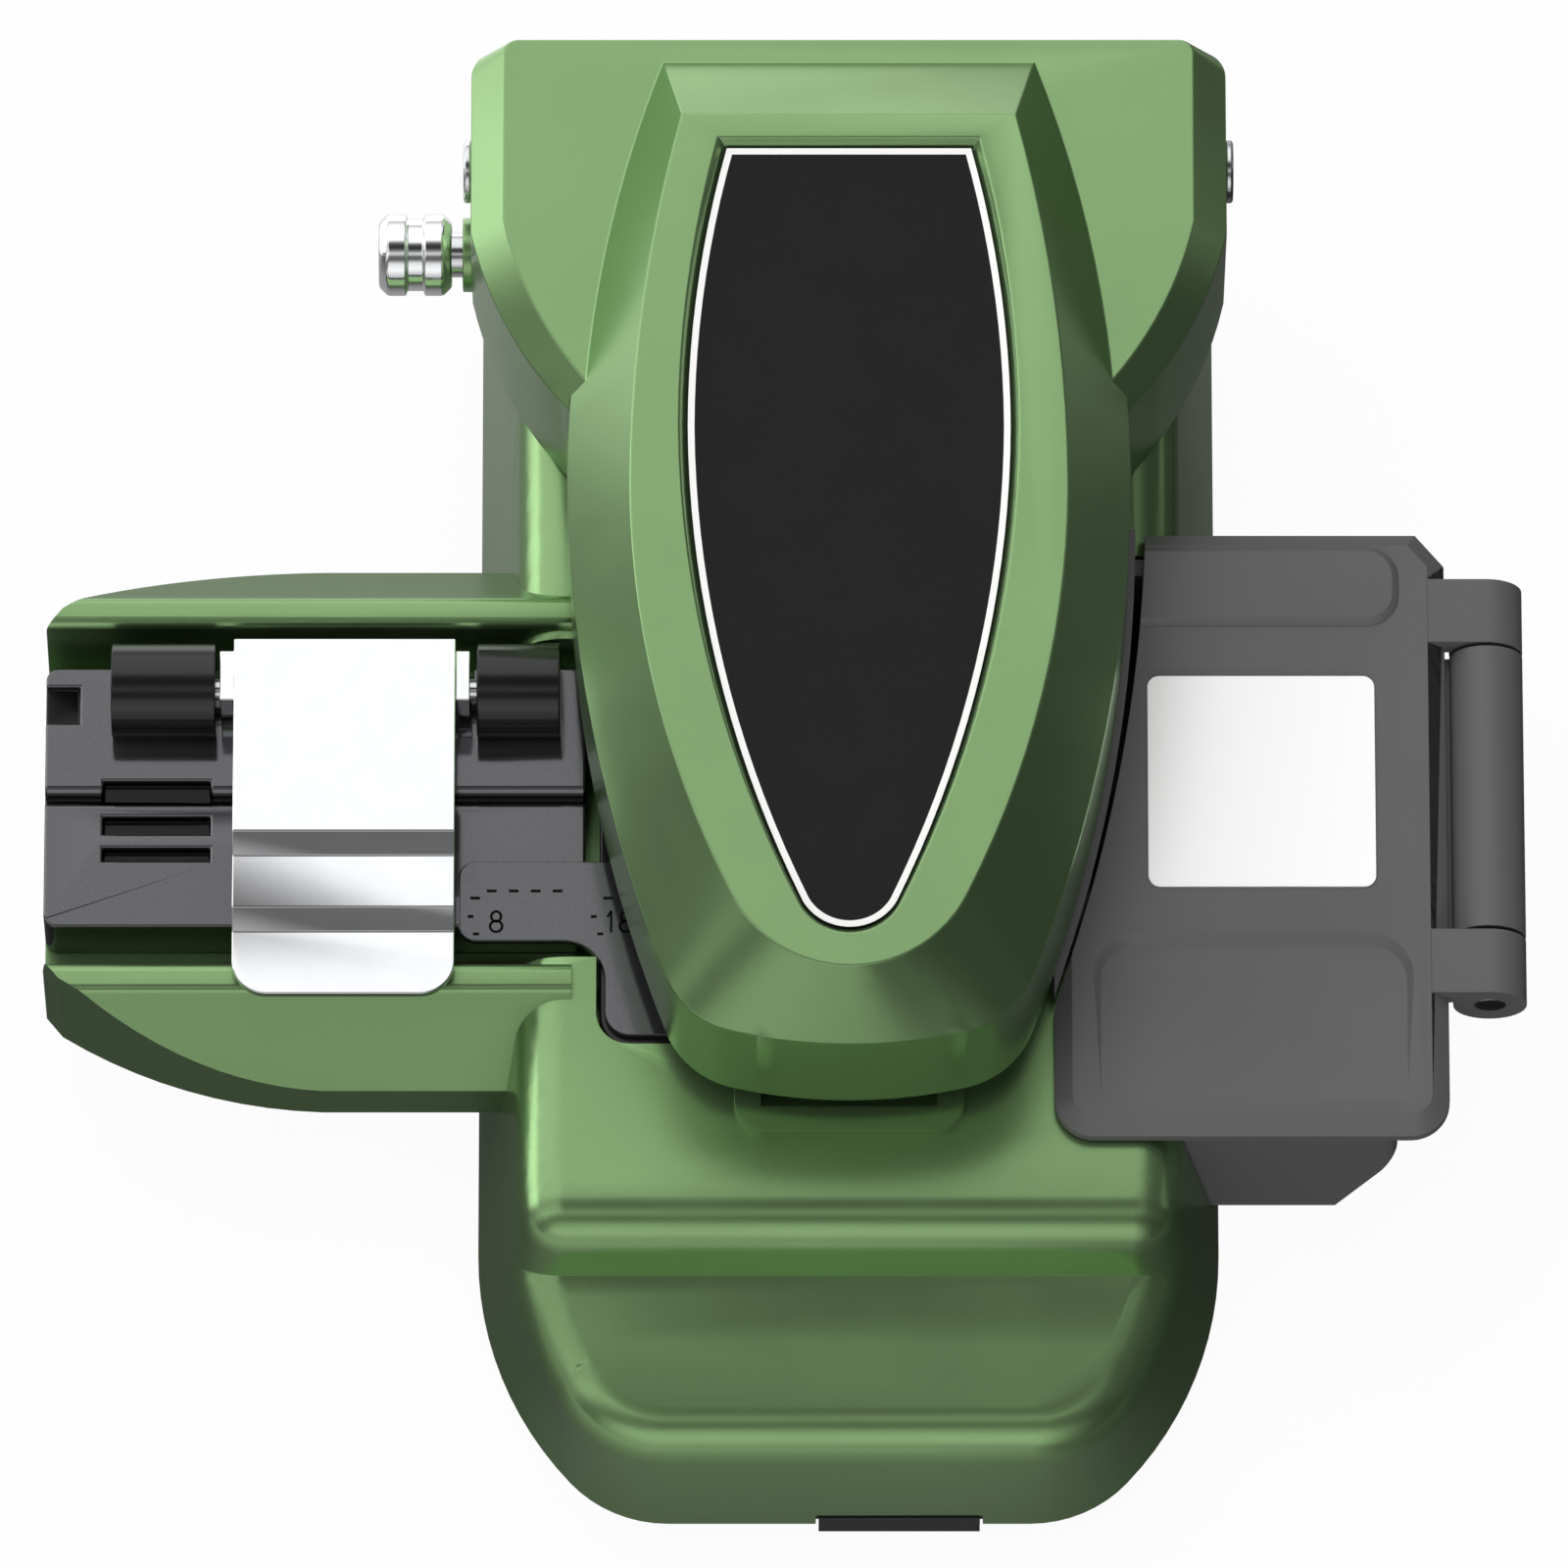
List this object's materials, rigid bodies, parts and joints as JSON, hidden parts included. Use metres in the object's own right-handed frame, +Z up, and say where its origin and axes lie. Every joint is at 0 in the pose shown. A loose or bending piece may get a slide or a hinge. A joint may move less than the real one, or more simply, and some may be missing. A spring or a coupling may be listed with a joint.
{
  "type": "fibre cleaver",
  "caption": "Bench-top optical fibre cleaver: die-cast base with fibre holder and clip, sliding round blade, hinged arm and waste box.",
  "frame": {"origin": "middle of the underside of the rubber mat on which the cleaver stands", "axes": "+X right along the fibre, +Y from the arm's nose to its hinge, +Z up"},
  "size_m": [0.1348, 0.128, 0.055],
  "materials": {
    "green_enamel": "satin green enamel over die-cast alloy",
    "green_enamel_arm": "satin green enamel over die-cast alloy",
    "black_anodised": "black anodised",
    "black_gloss": "moulded gloss black",
    "grey_abs": "moulded grey ABS",
    "label_white": "bare white plate",
    "inset_black": "bare black plate",
    "polished_steel": "polished",
    "ground_steel": "ground",
    "rubber_black": "moulded rubber",
    "ceramic_pad": "hard rubber pad",
    "bronze": "sintered bronze",
    "carbide": "lapped carbide"
  },
  "bodies": {
    "base": {"base_housing": "green_enamel", "base_plate": "black_anodised", "foot_mat": "rubber_black", "base_screws": "ground_steel", "catch_magnet": "ground_steel", "hinge_bush_left": "bronze", "hinge_bush_right": "bronze", "fibre_holder": "black_anodised", "clip_knuckle_left": "black_gloss", "clip_knuckle_right": "black_gloss", "clip_pin": "black_anodised", "length_scale": "black_anodised", "cleaving_block": "black_gloss", "lower_pad_left": "ceramic_pad", "lower_pad_right": "ceramic_pad", "slide_rail": "ground_steel", "waste_box": "grey_abs", "lid_hinge_pin": "polished_steel"},
    "arm": {"arm_shell": "green_enamel_arm", "inset_panel": "inset_black", "arm_inner_plate": "black_anodised", "upper_pad_left": "ceramic_pad", "upper_pad_right": "ceramic_pad", "anvil": "ground_steel", "catch_keeper": "ground_steel", "arm_hinge_pin": "polished_steel", "roller_bracket_front": "black_anodised", "roller_bracket_back": "black_anodised"},
    "stop_pin": {"stop_pin": "polished_steel", "stop_knob": "polished_steel"},
    "clip": {"clip_plate": "polished_steel", "clip_pad": "rubber_black"},
    "carriage": {"blade_carriage": "black_anodised", "blade_axle": "ground_steel"},
    "blade": {"round_blade": "carbide", "blade_hub": "ground_steel", "blade_nut": "ground_steel"},
    "lid": {"waste_lid": "grey_abs", "label_plate": "label_white"},
    "lower_roller": {"lower_roller": "rubber_black", "lower_roller_shaft": "ground_steel"},
    "upper_roller": {"upper_roller": "rubber_black", "upper_roller_shaft": "ground_steel"}
  },
  "joints": [
    {"name": "arm_hinge", "type": "hinge", "parent": "base", "child": "arm", "pos_m": [0, 0.056, 0.036], "axis": [-1, 0, 0], "range_deg": [0, 62]},
    {"name": "stop_pin_slide", "type": "slide", "parent": "arm", "child": "stop_pin", "axis": [-1, 0, 0], "range_m": [0, 0.003], "stiffness_N_per_m": 300, "springref_m": -0.001},
    {"name": "clip_hinge", "type": "hinge", "parent": "base", "child": "clip", "pos_m": [0, 0.0074, 0.0292], "axis": [-1, 0, 0], "range_deg": [0, 95]},
    {"name": "carriage_slide", "type": "slide", "parent": "base", "child": "carriage", "axis": [0, -1, 0], "range_m": [0, 0.024]},
    {"name": "blade_index", "type": "hinge", "parent": "carriage", "child": "blade", "pos_m": [0, 0.01, 0.01905], "axis": [1, 0, 0], "continuous": true},
    {"name": "lid_hinge", "type": "hinge", "parent": "base", "child": "lid", "pos_m": [0.0582, 0, 0.0276], "axis": [0, 1, 0], "range_deg": [0, 105]},
    {"name": "lower_roller_spin", "type": "hinge", "parent": "base", "child": "lower_roller", "pos_m": [0.0156, -0.002, 0.0249], "axis": [0, 1, 0], "continuous": true},
    {"name": "upper_roller_spin", "type": "hinge", "parent": "arm", "child": "upper_roller", "pos_m": [0.0156, -0.002, 0.0291], "axis": [0, 1, 0], "continuous": true}
  ],
  "couplings": [
    {"joint": "carriage_slide", "follows": "arm_hinge", "m_per_rad": 0.022178}
  ]
}
